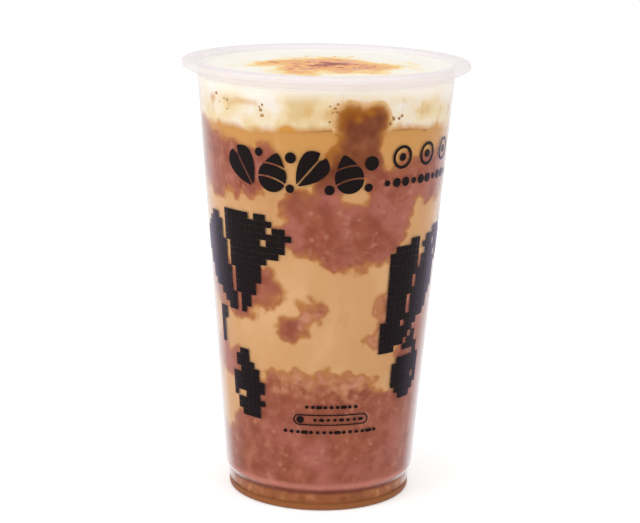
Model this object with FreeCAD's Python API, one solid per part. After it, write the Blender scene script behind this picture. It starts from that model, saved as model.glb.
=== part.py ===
"""Taro bubble tea in its 500 ml polypropylene cup.

Units are millimetres, +Z is up, the cup stands on Z = 0 with its axis on Z, and -Y is its front.
A place on the wall is given by its azimuth, counted in degrees from the front towards +X,
and by its height above the table.
"""
import FreeCAD, Part
import math
import os
from FreeCAD import Vector

# ---- the cup ---------------------------------------------------------------
CUP_HEIGHT = 138.0          # table to the top of the rim
RIM_DIAMETER = 90.0         # outside of the sealing flange
MOUTH_DIAMETER = 80.2       # outside of the wall just under the flange
SHOULDER_DIAMETER = 60.2    # outside of the wall just above the foot
FOOT_DIAMETER = 58.0        # outside of the foot
FOOT_HEIGHT = 6.2           # table to the underside of the shoulder
SHOULDER_RISE = 1.9         # height over which the foot widens to the shoulder
WALL = 0.6                  # wall of the cup
BASE_THICKNESS = 0.9        # floor of the cup
BASE_RECESS = 2.0           # how far the middle of the floor stands off the table
FOOT_RING = 3.2             # width of the ring that the cup stands on
FOOT_EDGE_RADIUS = 0.9      # rounding of the outer bottom edge
FLANGE_EDGE_RADIUS = 0.85   # rounding of the edge of the flange
FLANGE_SLOPE = 2.6          # how much lower the flange's underside is at the wall than at its edge
LIP_RADIUS = 0.8            # rounding inside the mouth

# ---- the drink -------------------------------------------------------------
CREAM_BELOW_RIM = 1.9       # rim to the cream where it meets the wall
CREAM_DOME = 0.9            # rise of the cream from the wall to the middle
CREAM_DEPTH = 15.6          # thickness of the cream at the wall
BED_LEVEL = 24.0            # lowest part of the taro mash's top
SMEAR_DEPTH = 6.0           # how deep a smear of taro reaches from the wall into the tea

# ---- the taro mash: lobes as (azimuth, height, radius) --------------------
BED_LOBES = (
    (-60, 12, 11), (-40, 24, 11), (-22, 34, 13), (-8, 34.5, 12.8), (6, 34.5, 12.8), (17, 34.5, 12.6),
    (36, 27.5, 11.5), (50, 24, 11.5), (64, 32, 13), (57, 48, 9), (46, 63, 11), (60, 65, 13),
    (52, 74, 8.5), (31, 56, 4.6), (38, 57, 5), (74, 55, 13), (84, 38, 12), (102, 29, 13),
    (122, 34, 13), (142, 27, 12), (160, 33, 13), (180, 30, 13), (200, 35, 13), (220, 27, 12),
    (240, 24, 12), (262, 20, 11), (282, 14, 10),
)
SMEARS = {
    "taro_smear_upper_left": (
        (-88, 108.5, 9), (-76, 110.5, 12), (-61, 108.5, 11), (-47, 107.8, 9.6), (-36, 108, 9.2),
        (-29, 111.5, 6.6),
    ),
    "taro_smear_plume": (
        (12, 124.3, 6.7), (21.5, 124.3, 6.7), (17, 118.5, 7.2), (9, 112, 6.8), (19, 111, 7),
        (4, 106, 6.8), (-9, 95, 9), (-14, 90, 6.7), (2, 91, 11.5), (13, 89, 12.2), (25, 90, 11.6),
        (35, 91.5, 8.3), (30, 104, 8), (42, 105, 9), (56, 106, 9), (70, 106, 9.5), (84, 107, 9),
    ),
    "taro_smear_left": (
        (-28, 73, 5.2), (-35, 71, 8), (-48, 69, 9.5), (-62, 72, 10), (-76, 74, 9),
    ),
    "taro_smear_middle": (
        (-17.5, 59.5, 4.9), (-11, 61, 4.4), (-5.5, 64.5, 4.8), (-0.5, 65.5, 3.7),
    ),
    "taro_smear_lower_left": (
        (-57, 46, 6.6), (-66, 47, 7.5), (-76, 46, 6.6),
    ),
    "taro_smear_back_high": (
        (124, 100, 8), (138, 103, 10), (152, 98, 9), (164, 92, 8), (170, 102, 6.8),
    ),
    "taro_smear_back_right": (
        (108, 66, 7), (118, 72, 9), (130, 70, 8), (138, 78, 5),
    ),
    "taro_smear_back_middle": (
        (170, 63, 6.8), (182, 66, 8), (196, 70, 9), (208, 66, 6.6),
    ),
    "taro_smear_back_left": (
        (206, 108, 7), (218, 104, 10), (232, 98, 10), (244, 92, 7.5),
    ),
    "taro_smear_side_left": (
        (246, 62, 6.8), (254, 55, 7.5), (250, 46, 4.5),
    ),
}

# ---- worked out from the sizes above --------------------------------------
RIM_R = RIM_DIAMETER / 2
MOUTH_R = MOUTH_DIAMETER / 2
SHOULDER_R = SHOULDER_DIAMETER / 2
FOOT_R = FOOT_DIAMETER / 2
SHOULDER_Z = FOOT_HEIGHT + SHOULDER_RISE
FLANGE_UNDERSIDE_Z = CUP_HEIGHT - 2 * FLANGE_EDGE_RADIUS
WALL_TOP_Z = FLANGE_UNDERSIDE_Z - FLANGE_SLOPE
CREAM_LEVEL = CUP_HEIGHT - CREAM_BELOW_RIM
CREAM_BOTTOM = CREAM_LEVEL - CREAM_DEPTH
WALL_SLOPE = (MOUTH_R - SHOULDER_R) / (WALL_TOP_Z - SHOULDER_Z)
CLEAR = 5.0                 # overshoot of cutting solids past what they cut


def inner_radius(height):
    """Inside radius of the tapered wall at a height above the shoulder."""
    return SHOULDER_R - WALL + (height - SHOULDER_Z) * WALL_SLOPE


def revolve(points):
    """Solid of revolution about Z of a closed outline; a point of four values ends an arc."""
    edges = []
    for here, there in zip(points, points[1:] + points[:1]):
        start = Vector(here[0], 0, here[1])
        end = Vector(there[0], 0, there[1])
        if len(there) == 4:
            edges.append(Part.Arc(start, Vector(there[2], 0, there[3]), end).toShape())
        else:
            edges.append(Part.makeLine(start, end))
    face = Part.Face(Part.Wire(edges))
    return face.revolve(Vector(0, 0, 0), Vector(0, 0, 1), 360)


def inside_outline():
    """Radius and height of the inside of the cup, from the middle of its floor up to the mouth."""
    floor_z = BASE_RECESS + BASE_THICKNESS
    ring_r = FOOT_R - FOOT_RING
    return [
        (0, floor_z),
        (ring_r - BASE_RECESS, floor_z),
        (ring_r, BASE_THICKNESS),
        (FOOT_R - WALL - FOOT_EDGE_RADIUS, BASE_THICKNESS),
        (FOOT_R - WALL, BASE_THICKNESS + FOOT_EDGE_RADIUS),
        (FOOT_R - WALL, FOOT_HEIGHT),
        (SHOULDER_R - WALL, SHOULDER_Z),
        (inner_radius(CUP_HEIGHT - LIP_RADIUS), CUP_HEIGHT - LIP_RADIUS),
    ]


def make_cup():
    """The cup: foot ring, shoulder, tapered wall and sealing flange in one revolved shell."""
    bulge = math.sqrt(0.5)
    ring_r = FOOT_R - FOOT_RING
    edge_z = CUP_HEIGHT - FLANGE_EDGE_RADIUS
    edge_r = RIM_R - FLANGE_EDGE_RADIUS
    foot_mid = FOOT_EDGE_RADIUS * (1 - bulge)
    mouth_r = inner_radius(CUP_HEIGHT - LIP_RADIUS)
    outside = [
        (mouth_r + LIP_RADIUS, CUP_HEIGHT,
         mouth_r + LIP_RADIUS * (1 - bulge), CUP_HEIGHT - LIP_RADIUS * (1 - bulge)),
        (edge_r, CUP_HEIGHT),
        (edge_r, edge_z - FLANGE_EDGE_RADIUS, RIM_R, edge_z),
        (MOUTH_R, WALL_TOP_Z),
        (SHOULDER_R, SHOULDER_Z),
        (FOOT_R, FOOT_HEIGHT),
        (FOOT_R, FOOT_EDGE_RADIUS),
        (FOOT_R - FOOT_EDGE_RADIUS, 0, FOOT_R - foot_mid, foot_mid),
        (ring_r, 0),
        (ring_r - BASE_RECESS, BASE_RECESS),
        (0, BASE_RECESS),
    ]
    return revolve(inside_outline() + outside)


def make_cavity():
    """Everything inside the cup up to the cream's domed top."""
    wall_r = inner_radius(CREAM_LEVEL)
    dome_mid_r = wall_r / 2
    dome_radius = (wall_r ** 2 + CREAM_DOME ** 2) / (2 * CREAM_DOME)
    dome_mid_z = CREAM_LEVEL + CREAM_DOME - dome_radius + math.sqrt(dome_radius ** 2 - dome_mid_r ** 2)
    outline = inside_outline()[:-1]
    outline += [(wall_r, CREAM_LEVEL), (0, CREAM_LEVEL + CREAM_DOME, dome_mid_r, dome_mid_z)]
    return revolve(outline)


def slab(bottom, top):
    """A wide disc between two heights, for cutting a layer out of the cavity."""
    return Part.makeCylinder(RIM_DIAMETER, top - bottom, Vector(0, 0, bottom))


def lobe(azimuth, height, radius):
    """A ball of mash centred on the inside of the wall, with its poles on the line to the axis."""
    turn = math.radians(azimuth)
    outward = Vector(math.sin(turn), -math.cos(turn), 0)
    centre = outward * inner_radius(height) + Vector(0, 0, height)
    return Part.makeSphere(radius, centre, outward)


def fuse(shapes):
    """One shape out of several that overlap."""
    return shapes[0].fuse(shapes[1:]) if len(shapes) > 1 else shapes[0]


def near_wall(shape):
    """What is left of a shape where it reaches no deeper than a smear, with nothing cut at the wall."""
    core = revolve([
        (0, -CLEAR),
        (inner_radius(-CLEAR) - SMEAR_DEPTH, -CLEAR),
        (inner_radius(CUP_HEIGHT + CLEAR) - SMEAR_DEPTH, CUP_HEIGHT + CLEAR),
        (0, CUP_HEIGHT + CLEAR),
    ])
    return shape.cut(core)


def one_solid(name, shape):
    """The largest solid of a shape; slivers that a cut leaves beside it are dropped."""
    solids = sorted(shape.Solids, key=lambda solid: solid.Volume)
    print(f"{name}: {len(solids)} solid(s), {solids[-1].Volume / 1000:.2f} ml, valid {solids[-1].isValid()}")
    return solids[-1]


def main():
    os.makedirs("parts", exist_ok=True)
    cavity = make_cavity()
    bottom = cavity.common(slab(-CLEAR, BED_LEVEL))
    tea = cavity.common(slab(BED_LEVEL, CREAM_BOTTOM))
    cream = cavity.common(slab(CREAM_BOTTOM, CUP_HEIGHT + CLEAR))
    nodes = {"cup": make_cup()}
    for name, places in {"taro_bed": BED_LOBES, **SMEARS}.items():
        mash = near_wall(fuse([lobe(*place) for place in places]))
        tea = tea.cut(mash)
        cream = cream.cut(mash)
        nodes[name] = mash.common(cavity)
    nodes["taro_bed"] = nodes["taro_bed"].fuse(bottom)
    nodes["milk_tea"] = tea
    nodes["cream_top"] = cream
    for name, shape in nodes.items():
        one_solid(name, shape).exportStep(f"parts/{name}.step")


main()
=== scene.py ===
"""Looks of the taro bubble tea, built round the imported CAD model.

Shapes are worked out in millimetres in the frame of the CAD model and turned into metres when a
mesh is made. A place on the wall is an azimuth, in degrees from the front (-Y) towards +X, and a
height. Everything rides on the one body, "root".
"""
import math
import random

import bmesh
import bpy
import numpy as np
from mathutils import Matrix, Vector, noise
from mathutils.bvhtree import BVHTree


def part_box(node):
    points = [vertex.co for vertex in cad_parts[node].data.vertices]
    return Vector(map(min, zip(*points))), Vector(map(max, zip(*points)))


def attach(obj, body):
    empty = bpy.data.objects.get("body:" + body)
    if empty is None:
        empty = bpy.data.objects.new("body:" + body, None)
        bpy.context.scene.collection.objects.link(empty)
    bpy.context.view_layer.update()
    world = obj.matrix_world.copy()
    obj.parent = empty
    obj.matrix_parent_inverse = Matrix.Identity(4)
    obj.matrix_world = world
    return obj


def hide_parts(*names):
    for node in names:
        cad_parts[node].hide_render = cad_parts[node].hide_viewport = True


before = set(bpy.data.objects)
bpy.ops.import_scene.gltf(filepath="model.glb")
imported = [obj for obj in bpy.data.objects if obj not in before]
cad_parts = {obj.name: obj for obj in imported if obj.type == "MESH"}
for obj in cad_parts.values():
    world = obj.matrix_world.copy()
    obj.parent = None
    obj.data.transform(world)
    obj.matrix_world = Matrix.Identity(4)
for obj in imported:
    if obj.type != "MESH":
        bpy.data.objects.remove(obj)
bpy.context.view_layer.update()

MM = 0.001

# ---- sizes of the cup, in mm, as in the CAD model
CUP_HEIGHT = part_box("cup")[1].z / MM
RIM_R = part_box("cup")[1].x / MM
MOUTH_R = 40.1
SHOULDER_R = 30.1
FOOT_R = 29.0
FOOT_HEIGHT = 6.2
SHOULDER_Z = 8.1
WALL = 0.6
BASE_THICKNESS = 0.9
BASE_RECESS = 2.0
FOOT_RING = 3.2
FOOT_EDGE_RADIUS = 0.9
FLANGE_EDGE_RADIUS = 0.85
FLANGE_SLOPE = 2.6
LIP_RADIUS = 0.8
WALL_TOP_Z = CUP_HEIGHT - 2 * FLANGE_EDGE_RADIUS - FLANGE_SLOPE
WALL_SLOPE = (MOUTH_R - SHOULDER_R) / (WALL_TOP_Z - SHOULDER_Z)

# ---- the drink, in mm
CREAM_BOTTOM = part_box("cream_top")[0].z / MM
CREAM_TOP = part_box("cream_top")[1].z / MM
CREAM_DOME = 0.9
CREAM_LEVEL = CREAM_TOP - CREAM_DOME
SMEAR_DEPTH = 6.0
PROBE_DEPTH = 0.3           # how far in from the wall the mash's footprint is read
MASH_MARGIN = 4.0           # room round a footprint for the mash's ragged outline
TEA_REACH = 0.10            # how far each fill reaches into the wall
CREAM_REACH = 0.16
TARO_REACH = 0.24

# ---- resolution
LATHE_STEPS = 256           # segments round the cup
TARO_CELL = 0.62            # mm, grid that the taro's outlines are drawn on
PRINT_CELL = 0.22           # mm, grid that the print's outlines are drawn on
CARAMEL_CELL = 0.34         # mm, grid that the flakes of sugar are drawn on
CREAM_SIDE_ROWS = 27        # rows of vertices up the cream's side
CREAM_TOP_ROWS = 110        # rings of vertices on the cream's top
CORNER_GAP = 0.02           # of a cell, how near an outline comes to a corner of its grid
WELD_DISTANCE = 0.0005      # mm

# ---- camera
CAMERA_DISTANCE = 581.8     # mm from the cup's axis
CAMERA_HEIGHT = 208.8       # mm above the table
CAMERA_PITCH = 13.10        # degrees down
CAMERA_YAW = -0.08          # degrees towards +X
CAMERA_ROLL = 1.09          # degrees that the picture is turned clockwise
CAMERA_LENS = 105.4         # mm on a 36 mm sensor


# ---- Small tools
def srgb(red, green, blue):
    """A colour written as 0-255 sRGB, as linear values for a shader."""
    def linear(value):
        value /= 255
        return value / 12.92 if value <= 0.04045 else ((value + 0.055) / 1.055) ** 2.4
    return (linear(red), linear(green), linear(blue), 1.0)


def inner_radius(height):
    """Inside radius of the tapered wall at a height, in mm; works on arrays too."""
    return SHOULDER_R - WALL + (height - SHOULDER_Z) * WALL_SLOPE


def outer_radius(height):
    """Outside radius of the tapered wall at a height, in mm."""
    return inner_radius(height) + WALL


def on_axis_circle(azimuth, radius, height):
    """Points, in mm, at an azimuth in degrees, a radius and a height."""
    turn = np.radians(azimuth)
    return np.stack([radius * np.sin(turn), -radius * np.cos(turn), height + 0 * turn], axis=-1)


def lumpy(points, size, seed):
    """Smooth noise of about -1 to 1 at points in mm, with bumps of about the given size."""
    shift = Vector((seed * 17.3, seed * 9.1, seed * 5.7))
    flat = points.reshape(-1, 3) / size
    values = [noise.noise(Vector(point) + shift) for point in flat]
    return np.array(values).reshape(points.shape[:-1])


def add_piece(name, mesh, material):
    """A visible piece that rides on the body."""
    mesh.materials.append(material)
    piece = bpy.data.objects.new(name, mesh)
    bpy.context.scene.collection.objects.link(piece)
    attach(piece, "root")
    return piece


def make_object(name, vertices_mm, polygons, material,
                attributes=None, sharp=None, smooth=True):
    """A piece from points in mm, with vertex attributes, creased between points flagged sharp."""
    mesh = bpy.data.meshes.new(name)
    vertices = [tuple(v) for v in np.asarray(vertices_mm) * MM]
    mesh.from_pydata(vertices, [], [tuple(int(i) for i in p) for p in polygons])
    mesh.polygons.foreach_set("use_smooth", [smooth] * len(mesh.polygons))
    for key, values in (attributes or {}).items():
        layer = mesh.attributes.new(key, "FLOAT", "POINT")
        layer.data.foreach_set("value", np.asarray(values, dtype=np.float32))
    if sharp is not None:
        flags = [bool(sharp[e.vertices[0]] and sharp[e.vertices[1]]) for e in mesh.edges]
        layer = mesh.attributes.new("sharp_edge", "BOOLEAN", "EDGE")
        layer.data.foreach_set("value", flags)
    mesh.update()
    return add_piece(name, mesh, material)


def weld(piece):
    """Merges the vertices that lie on one spot, such as those at a pole."""
    build = bmesh.new()
    build.from_mesh(piece.data)
    bmesh.ops.remove_doubles(build, verts=build.verts, dist=WELD_DISTANCE * MM)
    bmesh.ops.dissolve_degenerate(build, edges=build.edges, dist=WELD_DISTANCE * MM)
    build.to_mesh(piece.data)
    build.free()


def ring_faces(rows, steps, closed):
    """Quads between rows of vertices that each go once round the axis."""
    faces = []
    for i in range(rows if closed else rows - 1):
        low, high = i * steps, (i + 1) % rows * steps
        for j in range(steps):
            k = (j + 1) % steps
            faces.append((low + j, low + k, high + k, high + j))
    return faces


def lathe(outline, closed=True):
    """Vertices and faces of an outline of (radius, height) turned about Z."""
    azimuths = np.arange(LATHE_STEPS) * 360 / LATHE_STEPS
    vertices = np.concatenate([on_axis_circle(azimuths, r, z) for r, z in outline])
    return vertices, ring_faces(len(outline), LATHE_STEPS, closed)


def rounded(points):
    """An outline with rounded corners; a point is (radius, height) and may have a rounding too."""
    outline = []
    for before, here, after in zip(points[-1:] + points[:-1], points, points[1:] + points[:1]):
        corner = Vector(here[:2])
        if len(here) < 3:
            outline.append(tuple(corner))
            continue
        back = (Vector(before[:2]) - corner).normalized()
        on = (Vector(after[:2]) - corner).normalized()
        half = back.angle(on) / 2
        reach = here[2] / math.tan(half)
        centre = corner + (back + on).normalized() * here[2] / math.sin(half)
        start = corner + back * reach - centre
        sweep = start.angle_signed(corner + on * reach - centre)
        steps = max(3, int(abs(sweep) / math.radians(15)))
        for k in range(steps + 1):
            turned = Matrix.Rotation(-sweep * k / steps, 2) @ start
            outline.append(tuple(centre + turned))
    return outline


def contour(field, wrap=False):
    """Points (row, column, value) and polygons of the part of a grid where the field is over 0."""
    columns = field.shape[1]
    inside = field > 0
    cells = inside[:-1] | inside[1:]
    cells = cells | np.roll(cells, -1, axis=1)
    if not wrap:
        cells[:, -1] = False
    points, lookup, polygons = [], {}, []

    def index_of(key, place):
        if key not in lookup:
            lookup[key] = len(points)
            points.append(place)
        return lookup[key]

    for i, j in zip(*np.nonzero(cells)):
        ring = [(i, j), (i, j + 1), (i + 1, j + 1), (i + 1, j)]
        polygon = []
        for here, there in zip(ring, ring[1:] + ring[:1]):
            key_here = (here[0], here[1] % columns)
            key_there = (there[0], there[1] % columns)
            value, other = field[key_here], field[key_there]
            if value > 0:
                polygon.append(index_of(key_here, (here[0], here[1], value)))
            if (value > 0) != (other > 0):
                t = min(max(value / (value - other), CORNER_GAP), 1 - CORNER_GAP)
                row = here[0] + t * (there[0] - here[0])
                column = here[1] + t * (there[1] - here[1])
                polygon.append(index_of(frozenset((key_here, key_there)), (row, column, 0.0)))
        if len(polygon) == 6:       # two opposite corners are inside, and each gets its own piece
            first = 0 if points[polygon[1]][2] > 0 else -1
            turned = polygon[first:] + polygon[:first]
            polygons += [turned[:3], turned[3:]]
        elif len(polygon) > 2:
            polygons.append(polygon)
    return np.array(points), polygons


def closed_skin(points, polygons, outer, inner, rim=None):
    """Vertices, faces, values and outline flags of two layers that meet along the outline."""
    on_outline = points[:, 2] <= 0
    count = len(points)
    own = np.nonzero(~on_outline)[0]
    inner_index = np.arange(count)
    inner_index[own] = count + np.arange(len(own))
    outer = np.where(on_outline[:, None], outer if rim is None else rim, outer)
    vertices = np.concatenate([outer, inner[own]])
    faces = [tuple(p) for p in polygons]
    faces += [tuple(inner_index[i] for i in reversed(p)) for p in polygons]
    values = np.concatenate([points[:, 2], points[own, 2]])
    return vertices, faces, values, np.concatenate([on_outline, np.zeros(len(own), bool)])


# ---- Materials
def new_material(name):
    """An empty node material and its output's surface socket."""
    material = bpy.data.materials.new(name)
    material.use_nodes = True
    tree = material.node_tree
    tree.nodes.clear()
    output = tree.nodes.new("ShaderNodeOutputMaterial")
    return material, tree, output


def put(tree, kind, inputs=None, **settings):
    """A node with its settings, and each input either linked to a socket or given a value."""
    new = tree.nodes.new(kind)
    for key, value in settings.items():
        setattr(new, key, value)
    for key, value in (inputs or {}).items():
        if isinstance(value, bpy.types.NodeSocket):
            tree.links.new(value, new.inputs[key])
        else:
            new.inputs[key].default_value = value
    return new


def place_mm(tree, stretch=(1, 1, 1)):
    """Object coordinates in mm, stretched."""
    coordinates = put(tree, "ShaderNodeTexCoord").outputs["Object"]
    scale = tuple(s / MM for s in stretch)
    mapping = put(tree, "ShaderNodeMapping", {"Vector": coordinates, "Scale": scale})
    return mapping.outputs["Vector"]


def grain(tree, where, size, detail=3.0, rough=0.55, shift=0.0):
    """Noise of 0 to 1 with features of about a size in mm."""
    moved = put(tree, "ShaderNodeVectorMath", {0: where, 1: (shift, shift, shift)}, operation="ADD")
    inputs = {"Vector": moved.outputs[0], "Scale": 1 / size, "Detail": detail, "Roughness": rough}
    return put(tree, "ShaderNodeTexNoise", inputs).outputs["Fac"]


def ramp(tree, factor, stops, smooth=False):
    """Colours along a factor; a stop is a position and either an sRGB colour or one value."""
    new = put(tree, "ShaderNodeValToRGB", {"Fac": factor})
    colours = new.color_ramp
    colours.interpolation = "EASE" if smooth else "LINEAR"
    while len(colours.elements) < len(stops):
        colours.elements.new(0.5)
    for element, (position, *colour) in zip(colours.elements, stops):
        element.position = position
        element.color = srgb(*colour) if len(colour) == 3 else colour * 4
    return new.outputs["Color"]


def span(tree, value, low, high, to_low=0.0, to_high=1.0):
    """A value taken from one range to another, smoothly and clamped."""
    new = put(tree, "ShaderNodeMapRange", {
        "Value": value, "From Min": low, "From Max": high, "To Min": to_low, "To Max": to_high},
        interpolation_type="SMOOTHSTEP")
    return new.outputs["Result"]


def sums(tree, operation, first, second):
    """Arithmetic on two values."""
    return put(tree, "ShaderNodeMath", {0: first, 1: second}, operation=operation).outputs[0]


def blend(tree, factor, first, second):
    """Two colours mixed by a factor."""
    inputs = {0: factor, 6: first, 7: second}
    return put(tree, "ShaderNodeMix", inputs, data_type="RGBA").outputs[2]


def tinted(tree, colour, value, low, high, most, shade):
    """A colour turned into an sRGB shade as a value goes from low to high."""
    return blend(tree, span(tree, value, low, high, 0, most), colour, srgb(*shade))


def bumps(tree, height, distance_mm, strength):
    """A bump normal from a height of 0 to 1."""
    inputs = {"Height": height, "Distance": distance_mm * MM, "Strength": strength}
    return put(tree, "ShaderNodeBump", inputs).outputs["Normal"]


def times(tree, first, second):
    """Two values multiplied."""
    return sums(tree, "MULTIPLY", first, second)


def swayed(tree, value, sway, amount):
    """A value pushed up and down by a noise of 0 to 1."""
    return sums(tree, "ADD", value, times(tree, sums(tree, "SUBTRACT", sway, 0.5), amount))


def stored(tree, name):
    """A value that the mesh holds at its vertices."""
    return put(tree, "ShaderNodeAttribute", attribute_name=name).outputs["Fac"]


def height_mm(tree, where):
    """The Z of a place."""
    return put(tree, "ShaderNodeSeparateXYZ", {"Vector": where}).outputs["Z"]


def facing(tree):
    """0 where a surface faces the viewer, 1 at its silhouette."""
    return put(tree, "ShaderNodeLayerWeight", {"Blend": 0.5}).outputs["Facing"]


PLASTIC_WHITE = srgb(250, 245, 247)


def cup_material():
    """Clear glossy plastic, milky at its silhouette and in the flange, brown in the foot's rim."""
    material, tree, output = new_material("clear_plastic")
    where = place_mm(tree)
    haze = grain(tree, where, 9, 2)
    streaks = grain(tree, place_mm(tree, (1, 1, 0.12)), 1.4, 2)
    veil = ramp(tree, facing(tree), [
        (0.0, 0.0), (0.45, 0.012), (0.64, 0.09), (0.8, 0.46), (1.0, 1.0)])
    veil = sums(tree, "ADD", veil, times(tree, haze, 0.004))
    height = height_mm(tree, where)
    veil = times(tree, veil, span(tree, height, 10, 116, 1.3, 0.8))
    flange = span(tree, height, WALL_TOP_Z - 2.2, WALL_TOP_Z + 1.6, 0, 0.6)
    veil = sums(tree, "MAXIMUM", veil, flange)
    foot = span(tree, height, 3.0, 1.7, 0, 0.92)
    veil = sums(tree, "MAXIMUM", veil, foot)
    tone = tinted(tree, PLASTIC_WHITE, height, WALL_TOP_Z, WALL_TOP_Z + 2, 1, (250, 243, 245))
    tone = tinted(tree, tone, height, 3.7, 2.7, 1, (152, 92, 50))
    tone = tinted(tree, tone, height, 0.5, 0.2, 0.7, (150, 138, 130))
    normal = bumps(tree, blend(tree, 0.5, streaks, haze), 0.02, 0.4)
    milk = put(tree, "ShaderNodeBsdfPrincipled", {
        "Base Color": tone, "Roughness": 0.35, "Normal": normal, "IOR": 1.49,
        "Specular IOR Level": 0.2})
    glow = put(tree, "ShaderNodeBsdfTranslucent", {"Color": tone, "Normal": normal})
    through = times(tree, flange, 0.65)
    milk = put(tree, "ShaderNodeMixShader", {0: through, 1: milk.outputs[0], 2: glow.outputs[0]})
    clear = put(tree, "ShaderNodeBsdfTransparent", {"Color": (1, 1, 1, 1)})
    body = put(tree, "ShaderNodeMixShader", {0: veil, 1: clear.outputs[0], 2: milk.outputs[0]})
    gloss = put(tree, "ShaderNodeBsdfGlossy", {"Roughness": 0.14, "Normal": normal})
    mirror = put(tree, "ShaderNodeFresnel", {"IOR": 1.4, "Normal": normal}).outputs[0]
    mirror = times(tree, mirror, times(tree, 0.23, sums(tree, "SUBTRACT", 1.0, foot)))
    surface = put(tree, "ShaderNodeMixShader", {0: mirror, 1: body.outputs[0], 2: gloss.outputs[0]})
    tree.links.new(surface.outputs[0], output.inputs["Surface"])
    return material


def finish_surface(tree, output, colour, roughness, normal, specular):
    """A principled surface from its colour, roughness, normal and strength of reflection."""
    shader = put(tree, "ShaderNodeBsdfPrincipled", {
        "Base Color": colour, "Roughness": roughness, "Normal": normal,
        "Specular IOR Level": specular})
    tree.links.new(shader.outputs[0], output.inputs["Surface"])


def tea_material():
    """Opaque tan milk tea with faint clouds where cream and mash have mixed into it."""
    material, tree, output = new_material("milk_tea")
    where = place_mm(tree)
    clouds = grain(tree, place_mm(tree, (1, 1, 0.6)), 22, 3, shift=3)
    wisps = grain(tree, place_mm(tree, (1, 1, 0.35)), 6, 4, shift=11)
    colour = ramp(tree, clouds, [
        (0.3, 202, 150, 98), (0.5, 209, 159, 107), (0.72, 219, 172, 124)], True)
    high = span(tree, height_mm(tree, where), 98, 120)
    colour = blend(tree, times(tree, high, 0.75), colour, srgb(203, 145, 70))
    colour = tinted(tree, colour, wisps, 0.6, 0.78, 0.35, (222, 177, 134))
    colour = tinted(tree, colour, wisps, 0.42, 0.25, 0.3, (190, 126, 76))
    finish_surface(tree, output, colour, 0.45, bumps(tree, wisps, 0.05, 0.2), 0.1)
    return material


def taro_material():
    """Taro mash: mottled brown-mauve, paler where it thins out, brown and ochre in the plume, with
    a painted shadow under the foot's step and a painted highlight along the shoulder above it.
    """
    material, tree, output = new_material("taro_mash")
    where = place_mm(tree)
    height = height_mm(tree, where)
    edge = stored(tree, "edge")
    syrup = stored(tree, "syrup")
    loose = stored(tree, "loose")
    big = grain(tree, where, 16, 3, shift=5)
    middle = grain(tree, where, 4.2, 4, 0.62, shift=2)
    lumps = grain(tree, where, 2.6, 2, 0.5, shift=19)
    small = grain(tree, where, 1.1, 4, 0.65, shift=9)
    colour = ramp(tree, middle, [
        (0.3, 136, 66, 43), (0.43, 147, 76, 53), (0.56, 158, 87, 64),
        (0.68, 176, 105, 80), (0.8, 196, 131, 102)], True)
    for tint in ((big, 0.48, 0.68, 0.6, (182, 109, 98)), (big, 0.46, 0.3, 0.45, (168, 97, 60)),
                 (lumps, 0.58, 0.74, 0.5, (196, 132, 108)), (lumps, 0.4, 0.28, 0.5, (134, 68, 52)),
                 (small, 0.6, 0.8, 0.25, (200, 136, 110)), (small, 0.4, 0.22, 0.4, (124, 60, 46))):
        colour = tinted(tree, colour, *tint)
    patchy = swayed(tree, loose, middle, 1.5)
    patchy = swayed(tree, patchy, big, 2.0)
    patchy = times(tree, span(tree, patchy, 0.3, 0.85, 0, 0.85), span(tree, loose, 0.02, 0.15))
    pale = ramp(tree, lumps, [(0.35, 188, 124, 82), (0.5, 200, 142, 96), (0.65, 206, 146, 118)])
    colour = blend(tree, patchy, colour, pale)
    steeped = swayed(tree, syrup, middle, 0.6)
    dark = ramp(tree, middle, [(0.3, 108, 50, 22), (0.5, 126, 64, 32), (0.7, 148, 86, 52)])
    colour = blend(tree, span(tree, steeped, 0.0, 0.45), colour, dark)
    ochre = ramp(tree, middle, [(0.3, 132, 70, 0), (0.5, 150, 84, 0), (0.7, 176, 108, 8)])
    colour = blend(tree, span(tree, steeped, 1.0, 1.35), colour, ochre)
    thin = swayed(tree, edge, middle, 5.0)
    fringe = ramp(tree, span(tree, thin, -0.9, 4.4), [
        (0.0, 206, 152, 96), (0.14, 190, 132, 74), (0.4, 180, 117, 64),
        (0.7, 170, 104, 62), (1.0, 164, 96, 70)])
    fringe = tinted(tree, fringe, syrup, 0.2, 0.9, 1, (172, 106, 34))
    colour = blend(tree, span(tree, thin, 0.4, 4.4), fringe, colour)
    around = blend(tree, span(tree, height, 95, 114), srgb(208, 158, 106), srgb(204, 148, 82))
    in_cream = span(tree, height, CREAM_BOTTOM - 0.4, CREAM_BOTTOM + 1.6)
    around = blend(tree, in_cream, around, srgb(223, 182, 127))
    fading = swayed(tree, edge, small, 1.6)
    in_tea = sums(tree, "SUBTRACT", 1.0, in_cream)
    wide = sums(tree, "MAXIMUM", span(tree, fading, 0.0, 2.8), in_tea)
    colour = blend(tree, sums(tree, "MINIMUM", span(tree, fading, 0.0, 1.2), wide), around, colour)
    foot = span(tree, height, FOOT_HEIGHT + 0.3, FOOT_HEIGHT - 0.3)
    foot_colour = ramp(tree, middle, [
        (0.3, 134, 74, 40), (0.5, 158, 94, 54), (0.7, 186, 124, 76)], True)
    colour = blend(tree, foot, colour, foot_colour)
    # painted shadow: a dark red-brown line in the mash just under the foot's step, where the step
    # shades it
    shade = times(tree, span(tree, height, FOOT_HEIGHT - 1.6, FOOT_HEIGHT - 0.2),
                 span(tree, height, FOOT_HEIGHT + 0.7, FOOT_HEIGHT))
    colour = blend(tree, times(tree, shade, 0.8), colour, srgb(112, 46, 36))
    # painted highlight: a pinkish light line along the shoulder, just above the foot's step
    painted_shoulder_highlight = times(tree, span(tree, height, FOOT_HEIGHT + 0.5, SHOULDER_Z - 0.6),
                 span(tree, height, SHOULDER_Z + 1.6, SHOULDER_Z))
    colour = blend(tree, times(tree, painted_shoulder_highlight, 0.6), colour, srgb(206, 134, 118))
    finish_surface(tree, output, colour, 0.5, bumps(tree, small, 0.12, 0.35), 0.1)
    return material


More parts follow.
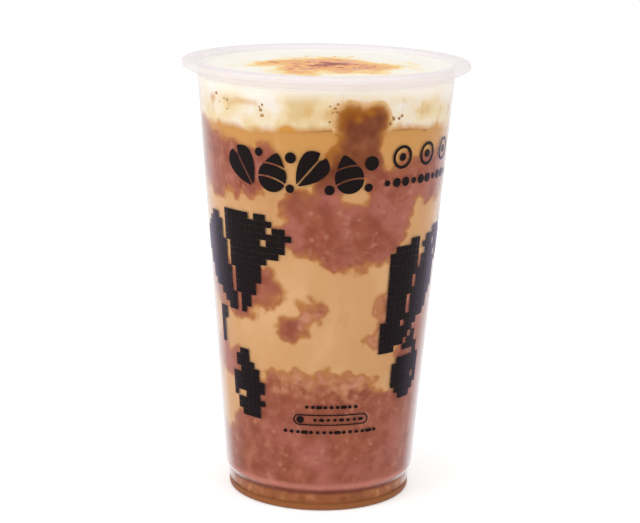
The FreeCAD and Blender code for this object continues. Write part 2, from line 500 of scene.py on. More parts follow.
def cream_material():
    """Milk cream, stained by syrup at the side and torched on top."""
    material, tree, output = new_material("cream")
    where = place_mm(tree)
    rise = stored(tree, "rise")
    scorch = stored(tree, "scorch")
    stain = stored(tree, "stain")
    clouds = grain(tree, place_mm(tree, (1, 1, 1.3)), 13, 3, shift=4)
    drips = grain(tree, place_mm(tree, (1, 1, 0.75)), 5, 4, shift=8)
    fine = grain(tree, where, 1.6, 4, 0.6, shift=1)
    colour = ramp(tree, clouds, [
        (0.34, 221, 193, 142), (0.46, 233, 212, 170), (0.55, 238, 222, 196),
        (0.66, 238, 229, 217)], True)
    colour = tinted(tree, colour, drips, 0.56, 0.72, 0.6, (222, 184, 124))
    low = span(tree, sums(tree, "ADD", rise, times(tree, drips, 4.0)), 4.8, 1.9)
    colour = blend(tree, low, colour, srgb(204, 148, 84))
    soaked = swayed(tree, stain, drips, 0.9)
    soaked = times(tree, span(tree, soaked, 0.15, 1.0, 0, 1), span(tree, stain, 0.02, 0.2))
    colour = blend(tree, soaked, colour, srgb(208, 146, 66))
    colour = tinted(tree, colour, rise, 8.0, 13.0, 0.85, (250, 243, 230))
    seam = stored(tree, "seam")
    colour = blend(tree, times(tree, seam, 0.8), colour, srgb(150, 92, 46))
    top = span(tree, scorch, -0.95, -0.85)
    toasted = swayed(tree, scorch, fine, 0.35)
    toasted = ramp(tree, span(tree, toasted, 0.0, 1.0), [
        (0.0, 253, 248, 239), (0.2, 252, 242, 218), (0.36, 251, 222, 158), (0.5, 245, 196, 120),
        (0.66, 241, 181, 130), (0.82, 232, 166, 134), (1.0, 206, 138, 116)])
    colour = blend(tree, top, colour, toasted)
    finish_surface(tree, output, colour, 0.42, bumps(tree, fine, 0.15, 0.3), 0.06)
    return material


def caramel_material():
    """Torched sugar: amber where it is thin, dark red-brown where it is thick."""
    material, tree, output = new_material("caramel")
    where = place_mm(tree)
    edge = stored(tree, "edge")
    patchy = grain(tree, where, 2.4, 4, shift=6)
    depth = swayed(tree, edge, patchy, 2.4)
    colour = ramp(tree, span(tree, depth, -0.2, 1.9), [
        (0.0, 248, 204, 136), (0.3, 238, 172, 116), (0.62, 220, 146, 114),
        (1.0, 166, 96, 80)])
    finish_surface(tree, output, colour, 0.45, bumps(tree, patchy, 0.2, 0.5), 0.04)
    return material


def ink_material():
    """Near-black screen print that pales towards the cup's silhouette, as the plastic does, through
    a painted lavender sheen that stands in for the pale surroundings it reflects there.
    """
    material, tree, output = new_material("print_ink")
    where = place_mm(tree)
    speck = grain(tree, where, 0.8, 3)
    colour = ramp(tree, speck, [(0.3, 11, 5, 6), (0.7, 26, 15, 16)])
    ink = put(tree, "ShaderNodeBsdfPrincipled", {
        "Base Color": colour, "Roughness": 0.6, "Normal": bumps(tree, speck, 0.03, 0.3),
        "Specular IOR Level": 0.08})
    # painted sheen: a lit lavender surface, mixed in towards the silhouette, stands in for the
    # reflection of the pale surroundings
    painted_sheen = put(tree, "ShaderNodeBsdfPrincipled", {
        "Base Color": srgb(176, 160, 190), "Roughness": 0.4, "Specular IOR Level": 0.3})
    veil = ramp(tree, facing(tree), [
        (0.0, 0.0), (0.42, 0.005), (0.62, 0.09), (0.8, 0.4), (1.0, 0.85)])
    surface = put(tree, "ShaderNodeMixShader", {0: veil, 1: ink.outputs[0], 2: painted_sheen.outputs[0]})
    tree.links.new(surface.outputs[0], output.inputs["Surface"])
    return material


# ---- The cup
def inside_points(reach=0.0):
    """Corners of the cup's inside, from the middle of its floor to the mouth, moved outwards."""
    floor_z = BASE_RECESS + BASE_THICKNESS - reach
    ring_r = FOOT_R - FOOT_RING
    ring_z = BASE_THICKNESS - 1.8 * reach
    foot = FOOT_R - WALL + reach
    return [
        (0.0, floor_z),
        (ring_r - BASE_RECESS, floor_z, 1.5),
        (ring_r, ring_z, 0.6),
        (foot, ring_z, FOOT_EDGE_RADIUS),
        (foot, FOOT_HEIGHT, 0.8),
        (SHOULDER_R - WALL + reach, SHOULDER_Z, 1.2),
        (inner_radius(CUP_HEIGHT - LIP_RADIUS) + reach, CUP_HEIGHT - LIP_RADIUS),
    ]


def inside_outline(reach):
    """Rounded outline of the cup's inside, moved outwards, as far as the shoulder."""
    return rounded(inside_points(reach)[:-1] + [(0.0, CUP_HEIGHT)])[:-1]


def build_cup(material):
    """The cup as one turned shell with rounded foot, shoulder and flange."""
    ring_r = FOOT_R - FOOT_RING
    mouth_r = inner_radius(CUP_HEIGHT)
    outside = [
        (mouth_r, CUP_HEIGHT, LIP_RADIUS),
        (RIM_R, CUP_HEIGHT, FLANGE_EDGE_RADIUS * 0.98),
        (RIM_R, CUP_HEIGHT - 2 * FLANGE_EDGE_RADIUS, FLANGE_EDGE_RADIUS * 0.75),
        (MOUTH_R, WALL_TOP_Z, 0.9),
        (SHOULDER_R, SHOULDER_Z, 1.2),
        (FOOT_R, FOOT_HEIGHT, 0.6),
        (FOOT_R, 0.0, FOOT_EDGE_RADIUS),
        (ring_r, 0.0, 0.5),
        (ring_r - BASE_RECESS, BASE_RECESS, 1.0),
        (0.0, BASE_RECESS),
    ]
    outline = rounded(inside_points()[:-1] + outside)
    vertices, faces = lathe(outline)
    cup = make_object("cup_shell", vertices, [f[::-1] for f in faces], material)
    weld(cup)
    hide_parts("cup")


# ---- The drink
def cream_edge(azimuth):
    """Height of the cream's lower edge round the wall, in mm."""
    turn = np.radians(azimuth)
    sag = 2.0 * (1 - np.cos(turn))
    waves = 0.5 * np.sin(3 * turn + 0.4) + 0.35 * np.sin(7 * turn + 2.0) + 0.2 * np.sin(13 * turn)
    return CREAM_BOTTOM + 0.4 - sag + waves


def build_tea(material):
    """The tea, reaching just into the wall all the way up to the cream."""
    outline = inside_outline(TEA_REACH)
    top = CREAM_BOTTOM + 2.5
    for height in np.linspace(SHOULDER_Z + 4, top, 24):
        outline.append((inner_radius(height) + TEA_REACH, height))
    outline += [(inner_radius(top) - 1.0, top), (0.0, top)]
    vertices, faces = lathe(outline, closed=False)
    tea = make_object("milk_tea_fill", vertices, faces, material)
    weld(tea)
    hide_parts("milk_tea")


SCORCH_CENTRE = (1.0, -4.0)     # mm, middle of the torched sugar on the cream
SCORCH_RADIUS = 32.0            # mm
CARAMEL_HALF = 30.0             # mm, half the width of the square that holds the flakes


def scorch_at(points):
    """How torched the cream's top is at points in mm: about 0 for none to 1 for dark."""
    offset = points[..., :2] - np.array(SCORCH_CENTRE)
    distance = np.hypot(offset[..., 0] / 1.05, offset[..., 1])
    flat = points * np.array([1, 1, 0])
    ragged = lumpy(flat, 9, 21) * 0.28 + lumpy(flat, 3.4, 22) * 0.16
    core = 0.45 * np.exp(-(offset[..., 0] / 17) ** 2 - ((offset[..., 1] + 1) / 8.5) ** 2)
    fading = np.clip(1.05 - distance / SCORCH_RADIUS, 0, None) * 0.8
    return fading + core + np.where(distance < 38, ragged, 0)


def cream_surface(points):
    """Height of the cream's top at points in mm: a low dome, soft ripples and a wrinkled crust."""
    radius = np.hypot(points[..., 0], points[..., 1])
    wall = inner_radius(CREAM_LEVEL)
    flat = points * np.array([1, 1, 0])
    dome = CREAM_DOME * 0.75 * (1 - (radius / wall) ** 2)
    ripples = 0.14 * lumpy(flat, 12, 31) + 0.05 * lumpy(flat, 4, 32)
    crust = 0.16 * lumpy(flat, 1.8, 33) * np.clip(1.2 - radius / SCORCH_RADIUS, 0, 1)
    meniscus = 0.45 * np.exp(-(wall - radius) / 0.9)
    return CREAM_LEVEL - 0.1 + dome + ripples + crust + meniscus


STAINS = (                  # azimuth, height, spread across, spread up, strength
    (-38, 129.0, 9, 1.6, 0.75), (-60, 128.5, 4, 2.2, 0.7), (-17, 120.8, 3.8, 2.1, 1.7),
    (8, 127.0, 16, 2.4, 0.4), (15, 126.5, 14.5, 7.0, 0.62), (50, 127.0, 5, 2.4, 0.4),
    (61, 120.0, 2.4, 3.2, 1.0), (-56, 120.0, 2.5, 2.6, 0.9), (104, 128, 10, 2.0, 0.7),
    (138, 121.5, 4, 2.2, 1.0), (170, 128.5, 9, 1.8, 0.6), (205, 122, 5, 2.4, 0.9),
    (240, 128, 9, 2.2, 0.7), (262, 121, 3, 2.4, 0.9),
)
SEAMS = ((2, 9, 1.0), (38, 8, 1.0), (150, 20, 0.6))     # azimuth, spread, strength of a dark line


def stain_at(azimuth, height):
    """How much syrup has soaked into the cream at a place on the wall."""
    total = 0 * azimuth * height
    for middle, level, across, up, strength in STAINS:
        away = (azimuth - middle + 180) % 360 - 180
        total = total + strength * np.exp(-(away / across) ** 2 - ((height - level) / up) ** 2)
    return total


def build_cream(material):
    """The cream: a wavy lower edge on the tea, the side against the wall, and the torched top."""
    steps = LATHE_STEPS
    azimuths = np.arange(steps) * 360 / steps
    low = cream_edge(azimuths)
    rows, rise = [], []
    rows.append(on_axis_circle(azimuths, 0.0, CREAM_BOTTOM + 1.5))
    rows.append(on_axis_circle(azimuths, inner_radius(CREAM_BOTTOM) - 2.5, CREAM_BOTTOM + 1.5))
    rise += [np.full(steps, 12.0)] * 2
    side_rows = CREAM_SIDE_ROWS
    for k in range(side_rows):          # the second row is just above the first: a crisp edge
        height = low + (CREAM_LEVEL + 0.3 - low) * max(k - 1 + 0.05 * (k == 1), 0) / (side_rows - 2)
        rows.append(on_axis_circle(azimuths, inner_radius(height) + CREAM_REACH, height))
        rise.append(height - low)
    wall = inner_radius(CREAM_LEVEL)
    for k in range(CREAM_TOP_ROWS + 1):
        ring = on_axis_circle(azimuths, wall * (1 - k / CREAM_TOP_ROWS), CREAM_LEVEL)
        ring[:, 2] = cream_surface(ring)
        rows.append(ring)
        rise.append(np.full(steps, 16.0))
    vertices = np.concatenate(rows)
    stain = np.zeros(len(vertices))
    side = slice(2 * steps, (2 + side_rows) * steps)
    stain[side] = stain_at(np.tile(azimuths, side_rows), vertices[side, 2])
    away = (azimuths + 180) % 360 - 180
    seam = sum(much * np.exp(-((away - middle) / across) ** 2) for middle, across, much in SEAMS)
    seam = np.concatenate([seam * np.exp(-(r / 0.4) ** 2) for r in rise])
    scorch = np.full((2 + side_rows, steps), -1.0)
    scorch = np.concatenate([scorch.ravel(), scorch_at(vertices[(2 + side_rows) * steps:])])
    faces = ring_faces(len(rows), steps, False)
    attributes = {"rise": np.concatenate(rise), "scorch": scorch, "stain": stain, "seam": seam}
    cream = make_object("cream_layer", vertices, faces, material, attributes)
    weld(cream)
    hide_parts("cream_top")


def build_caramel(material):
    """Flakes of torched sugar on the cream, drawn out into ragged islands."""
    half, cell = CARAMEL_HALF, CARAMEL_CELL
    side = int(2 * half / cell)
    y, x = np.mgrid[0:side, 0:side] * cell - half
    flat = np.stack([x, y, 0 * x], axis=-1)
    stretched = flat * np.array([0.62, 1.0, 1.0])
    islands = (lumpy(stretched, 4.2, 41) + 0.55 * lumpy(stretched, 1.9, 42)
               + 0.3 * lumpy(flat, 0.9, 43))
    field = (islands + (scorch_at(flat) - 0.72) * 1.5 - 0.12) * 2.2
    field[[0, -1], :] = -1
    field[:, [0, -1]] = -1
    points, polygons = contour(field)
    x, y = points[:, 1] * cell - half, points[:, 0] * cell - half
    places = np.stack([x, y, 0 * x], axis=-1)
    surface = cream_surface(places)
    thick = 0.38 * (1 - np.exp(-points[:, 2] / 0.8))
    outer = np.column_stack([places[:, :2], surface + 0.03 + thick])
    inner = np.column_stack([places[:, :2], surface - 0.12])
    vertices, faces, values, flags = closed_skin(points, polygons, outer, inner)
    attributes = {"edge": values}
    make_object("caramel_flakes", vertices, faces, material, attributes, flags)


# ---- The taro mash
def with_border(field, wrap):
    """A field with one more cell at each edge, which repeats it or wraps round the cup."""
    field = np.pad(field, ((1, 1), (0, 0)), mode="edge")
    return np.pad(field, ((0, 0), (1, 1)), mode="wrap" if wrap else "edge")


def blurred(field, passes, wrap):
    """A field smoothed with its four neighbours."""
    for _ in range(passes):
        padded = with_border(field, wrap)
        field = (padded[1:-1, 1:-1] * 2 + padded[:-2, 1:-1] + padded[2:, 1:-1]
                 + padded[1:-1, :-2] + padded[1:-1, 2:]) / 6
    return field


def distance_from(mask, wrap, furthest=26.0):
    """Distance in mm from each cell to the nearest one in the mask, by relaxing over neighbours."""
    distance = np.where(mask, 0.0, furthest)
    steps = [(i, j) for i in (-1, 0, 1) for j in (-1, 0, 1) if i or j]
    for _ in range(int(furthest / TARO_CELL)):
        padded = with_border(distance, wrap)
        rows, columns = distance.shape
        nearest = distance
        for i, j in steps:
            moved = padded[1 + i:1 + i + rows, 1 + j:1 + j + columns]
            nearest = np.minimum(nearest, moved + TARO_CELL * math.hypot(i, j))
        if np.array_equal(nearest, distance):
            break
        distance = nearest
    return distance


def footprint_field(inside, wrap):
    """Smoothed distance in mm from the edge of a footprint, above 0 inside it."""
    return blurred(distance_from(~inside, wrap) - distance_from(inside, wrap), 3, wrap)


def is_inside(node, points_mm):
    """Whether each point lies in a CAD node: the first face outwards is then a back face."""
    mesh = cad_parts[node].data
    vertices = [v.co.copy() for v in mesh.vertices]
    tree = BVHTree.FromPolygons(vertices, [tuple(p.vertices) for p in mesh.polygons])
    flags = []
    for point in points_mm.reshape(-1, 3) * MM:
        outwards = Vector((point[0], point[1], 0)).normalized()
        normal = tree.ray_cast(Vector(point), outwards)[1]
        flags.append(normal is not None and normal.dot(outwards) > 0)
    return np.array(flags).reshape(points_mm.shape[:-1])


def outline_noise(points):
    """Ragged displacement of the mash's outlines, in mm."""
    calm = 1 - 0.7 * np.clip((points[..., 2] - 114) / 6, 0, 1)
    return calm * (2.6 * lumpy(points, 6.5, 51) + 2.3 * lumpy(points, 3.1, 52)
                   + 1.1 * lumpy(points, 1.5, 53))


def build_smear(node, material):
    """A patch of mash on the wall: the CAD node's footprint with a ragged outline."""
    corners = np.array([v.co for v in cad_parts[node].data.vertices]) / MM
    mean = corners[:, :2].mean(axis=0)
    middle = math.degrees(math.atan2(mean[0], -mean[1]))
    azimuth = np.degrees(np.arctan2(corners[:, 0], -corners[:, 1])) - middle
    azimuth = (azimuth + 180) % 360 - 180
    pad = MASH_MARGIN
    radius = inner_radius(corners[:, 2].mean())
    turn = math.degrees(TARO_CELL / radius)
    columns = int((azimuth.max() - azimuth.min() + 2 * math.degrees(pad / radius)) / turn)
    low = corners[:, 2].min() - pad
    rows = int((corners[:, 2].max() + pad - low) / TARO_CELL)
    start = middle + azimuth.min() - math.degrees(pad / radius)
    i, j = np.mgrid[0:rows, 0:columns]
    height = low + i * TARO_CELL
    probe = on_axis_circle(start + j * turn, inner_radius(height) - PROBE_DEPTH, height)
    field = footprint_field(is_inside(node, probe), False) + outline_noise(probe)
    field[[0, -1], :] = -1
    field[:, [0, -1]] = -1
    points, polygons = contour(field)
    height = low + points[:, 0] * TARO_CELL
    azimuth = start + points[:, 1] * turn
    wall = inner_radius(height) + TARO_REACH
    thick = SMEAR_DEPTH * (1 - np.exp(-np.clip(points[:, 2], 0, None) / 4))
    outer = on_axis_circle(azimuth, wall, height)
    inner = on_axis_circle(azimuth, wall - thick, height)
    vertices, faces, values, flags = closed_skin(points, polygons, outer, inner)
    attributes = {"edge": values, "syrup": 0 * values, "loose": 0 * values}
    if node == "taro_smear_plume":
        attributes["syrup"] = syrup_at(vertices)
    if node in ("taro_smear_middle", "taro_smear_back_right", "taro_smear_side_left"):
        attributes["loose"] = 0 * values + 0.42
    piece = make_object(node + "_skin", vertices, faces, material, attributes, flags)
    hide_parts(node)


def syrup_at(points):
    """How much brown syrup has run down into the plume at points in mm, 0 to about 1.2."""
    azimuth = np.degrees(np.arctan2(points[:, 0], -points[:, 1]))
    lean = 0.3 * np.clip(azimuth - 12, -20, 30)
    rise = np.clip((points[:, 2] - 103 - lean) / 18, 0, 1.6)
    return rise * np.clip((38 - azimuth) / 6, 0, 1)


def along_inside(outline, distance):
    """Radius and height at a distance along the inside of the cup, from the middle of its floor."""
    corners = np.array(outline)
    lengths = np.concatenate([[0], np.cumsum(np.hypot(*np.diff(corners, axis=0).T))])
    return np.interp(distance, lengths, corners[:, 0]), np.interp(distance, lengths, corners[:, 1])


def build_bed(material):
    """The mash at the bottom: floor, foot and wall up to its ragged top, heaped in the middle."""
    node = "taro_bed"
    outline = inside_outline(TARO_REACH)
    outline.append((inner_radius(CUP_HEIGHT) + TARO_REACH, CUP_HEIGHT))
    lengths = np.hypot(*np.diff(np.array(outline), axis=0).T)
    bed_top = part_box(node)[1].z / MM
    top = bed_top + MASH_MARGIN
    rows = int((lengths[:-1].sum() + top - SHOULDER_Z) / TARO_CELL)
    columns = int(2 * math.pi * inner_radius(40) / TARO_CELL)
    i, j = np.mgrid[0:rows, 0:columns]
    radius, height = along_inside(outline, i * TARO_CELL)
    deep = np.maximum(radius - TARO_REACH - PROBE_DEPTH, 0)
    probe = on_axis_circle(j * 360 / columns, deep, height)
    wall_row = int(np.argmax(height[:, 0] > bed_top * 0.2))
    inside = np.ones((rows, columns), bool)
    inside[wall_row:] = is_inside(node, probe[wall_row:])
    field = footprint_field(inside, True)
    field[wall_row:] += outline_noise(probe[wall_row:])
    field[-1, :] = -1
    points, polygons = contour(field, wrap=True)
    radius, height = along_inside(outline, points[:, 0] * TARO_CELL)
    outer = on_axis_circle(points[:, 1] * 360 / columns, radius, height)
    heap = np.array([0, 0, bed_top * 0.35])
    pull = 1 - np.exp(-np.clip(points[:, 2], 0, None) / 20)
    inner = outer + (heap - outer) * pull[:, None]
    vertices, faces, values, flags = closed_skin(points, polygons, outer, inner)
    azimuth = np.degrees(np.arctan2(vertices[:, 0], -vertices[:, 1]))
    loose = np.clip((vertices[:, 2] - 29) / 17, 0, 1) * np.clip(1.6 - np.abs(azimuth) / 36, 0, 1)
    attributes = {"edge": values, "syrup": 0 * values, "loose": loose}
    piece = make_object("taro_bed_mash", vertices, faces, material, attributes, flags)
    weld(piece)
    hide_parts(node)


# ---- Bubbles against the wall
BUBBLE_GROUPS = (           # azimuth, height, spread across, spread up, how many
    (4.5, 127.5, 2.5, 3.0, 9), (-28.5, 126.5, 1.5, 2.5, 5), (33.0, 125.3, 3.0, 1.2, 5),
    (51.0, 120.0, 1.5, 0.6, 3), (-52.0, 128.0, 6.0, 2.0, 5), (78.0, 124.0, 6.0, 3.0, 6),
    (118.0, 126.0, 7.0, 3.0, 9), (165.0, 124.0, 8.0, 3.5, 10), (214.0, 127.0, 8.0, 3.0, 9),
    (258.0, 124.5, 7.0, 3.0, 8),
)


def build_bubbles(material):
    """Small syrupy bubbles and specks caught between the cream and the wall."""
    chance = random.Random(7)
    build = bmesh.new()
    for azimuth, height, across, up, count in BUBBLE_GROUPS:
        for _ in range(count):
            here = azimuth + chance.gauss(0, across * 0.6)
            level = height + chance.gauss(0, up * 0.6)
            size = 0.32 + 0.4 * chance.random() ** 2
            radius = inner_radius(level) + CREAM_REACH
            centre = Vector(on_axis_circle(np.array(here), radius, level)) * MM
            made = bmesh.ops.create_icosphere(build, subdivisions=2, radius=size * MM)
            turn = Matrix.Rotation(math.radians(here), 3, "Z")
            flat = Matrix.Diagonal((1, 0.25, 0.7 + 0.4 * chance.random()))
            for vertex in made["verts"]:
                vertex.co = centre + turn @ (flat @ vertex.co)
    mesh = bpy.data.meshes.new("wall_bubbles")
    build.to_mesh(mesh)
    build.free()
    mesh.polygons.foreach_set("use_smooth", [True] * len(mesh.polygons))
    add_piece("wall_bubbles", mesh, material)


def bubble_material():
    """Syrupy ochre-brown bubbles."""
    material, tree, output = new_material("syrup_bubbles")
    patchy = grain(tree, place_mm(tree), 1.5, 2)
    colour = ramp(tree, patchy, [(0.3, 120, 84, 40), (0.7, 190, 142, 74)])
    finish_surface(tree, output, colour, 0.25, bumps(tree, patchy, 0.05, 0.2), 0.5)
    return material


# ---- The print: generic leaves, corms and pearls
PRINT_LIFT = 0.03           # mm, underside of the ink above the wall
PRINT_THICKNESS = 0.05
BLOCK = 2.0                 # mm, one block of the pixel pattern
BLOCK_ROWS = range(11, 48)  # rows of blocks above the table that the pattern takes up
BLOCK_LEVEL = 62            # mm, height at which the blocks are as wide as they are high
BLOCK_GAP = 0.015           # of a block, room left at each of its edges


def printed_shape(azimuth, height, half_width, half_height, distance):
    """A thin printed shape on the wall; distance(u, v), in mm from its middle, is over 0 inside."""
    margin = 3 * PRINT_CELL
    rows = int(2 * (half_height + margin) / PRINT_CELL)
    columns = int(2 * (half_width + margin) / PRINT_CELL)
    i, j = np.mgrid[0:rows, 0:columns]
    u = j * PRINT_CELL - half_width - margin
    v = i * PRINT_CELL - half_height - margin
    points, polygons = contour(distance(u, v))
    u = points[:, 1] * PRINT_CELL - half_width - margin
    v = height + points[:, 0] * PRINT_CELL - half_height - margin
    azimuth = azimuth + np.degrees(u / outer_radius(height))
    lifts = (PRINT_LIFT + PRINT_THICKNESS, PRINT_LIFT, PRINT_LIFT + PRINT_THICKNESS / 2)
    layers = [on_axis_circle(azimuth, outer_radius(v) + lift, v) for lift in lifts]
    return closed_skin(points, polygons, *layers)


def add_print(name, shapes, material):
    """One printed piece made up of several shapes."""
    vertices, faces, flags, start = [], [], [], 0
    for points, polygons, _, on_outline in shapes:
        vertices.append(points)
        faces += [tuple(i + start for i in face) for face in polygons]
        flags.append(on_outline)
        start += len(points)
    vertices, flags = np.concatenate(vertices), np.concatenate(flags)
    make_object(name, vertices, faces, material, sharp=flags)


def disc(radius):
    """Distance function of a disc."""
    return lambda u, v: radius - np.hypot(u, v)


def ring(radius, line):
    """Distance function of a ring with a dot in it."""
    def distance(u, v):
        away = np.hypot(u, v)
        return np.maximum(line / 2 - np.abs(away - radius + line / 2), radius * 0.34 - away)
    return distance


def across_and_along(u, v, width, length, tilt):
    """Coordinates of -1 to 1 across and along a tilted shape."""
    lean = math.radians(tilt)
    x = (u * math.cos(lean) + v * math.sin(lean)) / (width / 2)
    y = (v * math.cos(lean) - u * math.sin(lean)) / (length / 2)
    return x, y


def leaf(width, length, tilt, vein):
    """Distance function of a heart-shaped leaf with its tip down, and an open vein."""
    def distance(u, v):
        x, y = across_and_along(u, v, width, length, tilt)
        side = np.abs(x)
        t = np.clip((1 - y) / 2, 0, 1)
        edge = np.where(t < 0.28, 0.98 * np.sqrt(np.clip(1 - ((0.28 - t) / 0.28) ** 2, 0, 1)),
                        0.98 * np.cos((t - 0.28) / 0.72 * math.pi / 2) ** 0.8)
        notch = np.where(y > 0.55, (y - 0.55) * 0.55, -1)
        inside = np.minimum(np.minimum(edge - side, side - notch), 1 - np.abs(y))
        inside = np.minimum(inside, np.where(y < 0.6, side - vein, 1))
        return inside * min(width, length) / 2
    return distance


def corm(width, length, tilt):
    """Distance function of a pointed taro corm with two open bands."""
    def distance(u, v):
        x, y = across_and_along(u, v, width, length, tilt)
        taper = 1 - 0.25 * y - 0.3 * np.maximum(y, 0)
        inside = 1 - np.hypot(x / taper, y)
        arch = y + 0.12 * x ** 2
        bands = np.minimum(np.abs(arch - 0.4) - 0.045, np.abs(arch + 0.28) - 0.045)
        return np.minimum(inside, bands) * min(width, length) / 2
    return distance


def bar(half_length, radius):
    """Distance function of a bar with round ends."""
    return lambda u, v: radius - np.hypot(np.maximum(np.abs(u) - half_length + radius, 0), v)


def pill_outline(half_length, radius, line):
    """Distance function of the outline of a long pill."""
    whole = bar(half_length, radius)
    return lambda u, v: line / 2 - np.abs(whole(u, v) - line / 2)


def build_upper_print(material):
    """Bold leaves and corms under the cream, with rings and a string of pearls beside them."""
    shapes = []
    bold = [(-39.5, 109.2, leaf(10.0, 13.0, 32, 0.06), 8), (-23.6, 108.4, corm(9.0, 12.2, -14), 8),
            (-6.4, 109.6, leaf(9.4, 12.4, -40, 0.06), 8), (11.0, 108.6, corm(8.6, 12.0, 14), 8),
            (-30.6, 114.2, disc(1.3), 1.3), (-15.2, 113.2, disc(1.7), 1.7),
            (-15.6, 103.8, disc(1.3), 1.3), (2.6, 103.8, disc(1.5), 1.5),
            (20.6, 104.4, disc(1.3), 1.3), (21.6, 111.8, disc(2.2), 2.2)]
    for turn in (0, 180):
        for azimuth, height, shape, half in bold:
            shapes.append(printed_shape(azimuth + turn, height, half, half, shape))
        for azimuth, radius in ((37.5, 3.6), (54, 3.6), (70.5, 3.6)):
            shapes.append(printed_shape(azimuth + turn, 113.0, radius, radius, ring(radius, 0.9)))
        for k in range(10):
            radius = 1.4 if k % 3 else 0.95
            shapes.append(printed_shape(30 + 5.2 * k + turn, 105.3, radius, radius, disc(radius)))
    add_print("print_upper", shapes, material)


MARK_ROWS = (               # count, first and step in azimuth, height, which are long, half sizes
    (8, -9, 3.7, 30.7, 3, 1, 0.85, 0.55, 0.5), (9, -13.6, 3.4, 34.9, 4, 2, 1.0, 0.6, 0.55),
    (15, -25.9, 3.7, 26.6, 5, 3, 1.1, 0.6, 0.55),
)


def build_lower_print(material):
    """A small pill outline with marks in it, and a row of marks above and below."""
    shapes = []
    for turn in (0, 180):
        middle = 6.5 + turn
        shapes.append(printed_shape(middle, 30.7, 11.8, 1.8, pill_outline(11.8, 1.8, 0.42)))
        shapes.append(printed_shape(middle - 17.2, 30.7, 2.0, 1.2, disc(1.15)))
        for count, start, step, height, every, which, long, short, radius in MARK_ROWS:
            for k in range(count):
                half = long if k % every == which else short
                mark = bar(half, radius)
                shapes.append(printed_shape(middle + start + step * k, height, half, short, mark))
    add_print("print_lower", shapes, material)


BLOCK_MOTIFS = (            # azimuth, height, kind, width, length, tilt
    (-52, 78, "leaf", 30, 34, 14), (-30, 86, "leaf", 14, 16, -30), (-44, 40, "corm", 13, 24, 8),
    (-63, 57, "stalk", 3.2, 12, 8),
    (52, 70, "leaf", 26, 32, -16), (72, 82, "leaf", 13, 15, 24), (54, 46, "corm", 14, 21, -8),
    (38, 56, "leaf", 11, 12, -40),
    (116, 84, "leaf", 26, 28, 10), (134, 58, "corm", 15, 26, 14), (108, 48, "leaf", 13, 14, -24),
    (172, 72, "leaf", 30, 34, -10), (196, 50, "corm", 13, 22, -12), (152, 44, "leaf", 14, 15, 28),
    (226, 80, "leaf", 24, 27, 18), (240, 52, "corm", 15, 24, 6), (216, 46, "leaf", 11, 12, -18),
)


def in_motif(kind, width, length, tilt, u, v):
    """Whether a block at u, v mm from a motif's middle belongs to it."""
    if kind == "leaf":
        return leaf(width, length, tilt, 0.055)(u, v) > 0
    if kind == "corm":
        return corm(width, length, tilt)(u, v) > 0
    return bar(length / 2, width / 2)(v, u - 0.12 * v) > 0


def build_block_print(material):
    """Leaves and corms made up of small square blocks, all the way round the cup."""
    count = round(2 * math.pi * outer_radius(BLOCK_LEVEL) / BLOCK)
    turn = 360 / count
    half_turn, half = turn * (0.5 - BLOCK_GAP), BLOCK * (0.5 - BLOCK_GAP)
    vertices, faces = [], []
    for i in BLOCK_ROWS:
        height = i * BLOCK
        for j in range(count):
            azimuth = j * turn
            hit = False
            for middle, level, kind, width, length, tilt in BLOCK_MOTIFS:
                away = (azimuth - middle + 180) % 360 - 180
                u = math.radians(away) * outer_radius(BLOCK_LEVEL)
                hit = hit or in_motif(kind, width, length, tilt, u, height - level)
            if not hit:
                continue
            start = len(vertices)
            for lift in (PRINT_LIFT, PRINT_LIFT + PRINT_THICKNESS):
                for a, z in ((-1, -1), (1, -1), (1, 1), (-1, 1)):
                    z = height + z * half
                    here = np.array(azimuth + a * half_turn)
                    vertices.append(on_axis_circle(here, outer_radius(z) + lift, z))
            low = [start + k for k in range(4)]
            high = [start + 4 + k for k in range(4)]
            faces += [tuple(high), tuple(low[::-1])]
            faces += [(low[k], low[(k + 1) % 4], high[(k + 1) % 4], high[k]) for k in range(4)]
    vertices = np.array(vertices)
    make_object("print_blocks", vertices, faces, material, smooth=False)


# ---- Floor, light and camera
FLOOR_RADIUS = 3.0          # m


def build_stage():
    """A plain pale floor that keeps the cup's soft shadow and meets a white background."""
    bpy.ops.mesh.primitive_circle_add(vertices=96, radius=FLOOR_RADIUS, fill_type="NGON")
    floor = bpy.context.active_object
    floor.name = "floor"
    material, tree, output = new_material("pale_floor")
    paint = put(tree, "ShaderNodeBsdfDiffuse", {"Color": (0.96, 0.96, 0.96, 1)})
    glow = put(tree, "ShaderNodeEmission", {"Color": (1, 1, 1, 1), "Strength": 0.3})
    both = put(tree, "ShaderNodeAddShader", {0: paint.outputs[0], 1: glow.outputs[0]})
    seen = put(tree, "ShaderNodeLightPath").outputs["Is Camera Ray"]
    surface = put(tree, "ShaderNodeMixShader", {0: seen, 1: paint.outputs[0], 2: both.outputs[0]})
    tree.links.new(surface.outputs[0], output.inputs["Surface"])
    floor.data.materials.append(material)


def build_world():
    """Soft white surroundings, seen as white by the camera and by gloss."""
    world = bpy.data.worlds.new("studio")
    bpy.context.scene.world = world
    world.use_nodes = True
    tree = world.node_tree
    tree.nodes.clear()
    output = tree.nodes.new("ShaderNodeOutputWorld")
    path = put(tree, "ShaderNodeLightPath")
    seen = sums(tree, "MAXIMUM", path.outputs["Is Camera Ray"], path.outputs["Is Glossy Ray"])
    seen = sums(tree, "MAXIMUM", seen, path.outputs["Is Transmission Ray"])
    strength = put(tree, "ShaderNodeMapRange", {"Value": seen, "To Min": 0.745, "To Max": 1.0})
    inputs = {"Color": (1, 1, 1, 1), "Strength": strength.outputs["Result"]}
    background = put(tree, "ShaderNodeBackground", inputs)
    tree.links.new(background.outputs[0], output.inputs["Surface"])


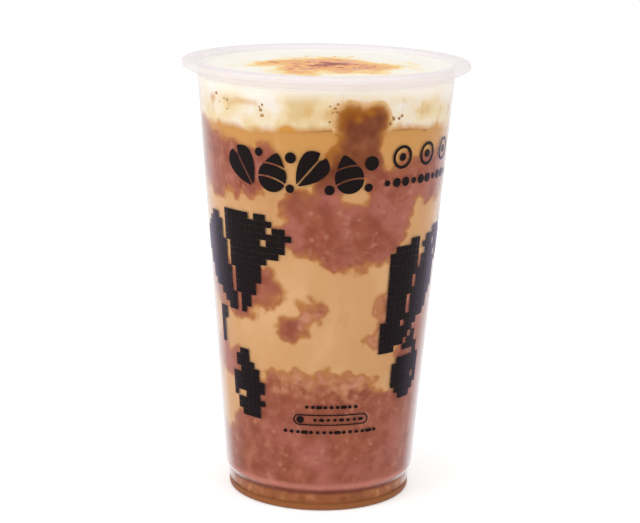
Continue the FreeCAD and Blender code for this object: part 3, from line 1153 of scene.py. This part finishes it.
def add_lamp(name, place, size, power):
    """A soft square lamp aimed at the middle of the cup."""
    light = bpy.data.lights.new(name, "AREA")
    light.size = size
    light.energy = power
    lamp = bpy.data.objects.new(name, light)
    bpy.context.scene.collection.objects.link(lamp)
    lamp.location = place
    target = Vector((0, 0, CUP_HEIGHT * MM / 2))
    lamp.rotation_euler = (target - lamp.location).to_track_quat("-Z", "Y").to_euler()


def build_lights():
    """A key from the front left, a weaker fill from the right and one from above."""
    add_lamp("key", (-1.0, -0.75, 0.55), 0.8, 6.35)
    add_lamp("fill", (0.9, -0.7, 0.45), 0.9, 3.2)
    add_lamp("top", (0.0, 0.25, 1.1), 0.9, 1.0)


def build_camera():
    """The camera, a little above the rim and looking slightly down."""
    data = bpy.data.cameras.new("camera")
    data.lens = CAMERA_LENS
    data.sensor_width = 36.0
    camera = bpy.data.objects.new("camera", data)
    bpy.context.scene.collection.objects.link(camera)
    pitch, yaw, roll = (math.radians(a) for a in (CAMERA_PITCH, CAMERA_YAW, CAMERA_ROLL))
    level = math.cos(pitch)
    ahead = Vector((math.sin(yaw) * level, math.cos(yaw) * level, -math.sin(pitch)))
    right = ahead.cross(Vector((0, 0, 1))).normalized()
    up = right.cross(ahead)
    tilted_right = math.cos(roll) * right + math.sin(roll) * up
    tilted_up = math.cos(roll) * up - math.sin(roll) * right
    turn = Matrix((tilted_right, tilted_up, -ahead)).transposed().to_4x4()
    place = Vector((0, -CAMERA_DISTANCE, CAMERA_HEIGHT)) * MM
    camera.matrix_world = Matrix.Translation(place) @ turn
    bpy.context.scene.camera = camera


# ---- Putting it together
def main():
    build_cup(cup_material())
    build_tea(tea_material())
    build_cream(cream_material())
    build_caramel(caramel_material())
    taro = taro_material()
    build_bed(taro)
    for node in sorted(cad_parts):
        if node.startswith("taro_smear"):
            build_smear(node, taro)
    build_bubbles(bubble_material())
    ink = ink_material()
    build_upper_print(ink)
    build_lower_print(ink)
    build_block_print(ink)
    build_stage()
    build_world()
    build_lights()
    build_camera()
    bpy.context.scene.view_settings.view_transform = "Standard"


main()
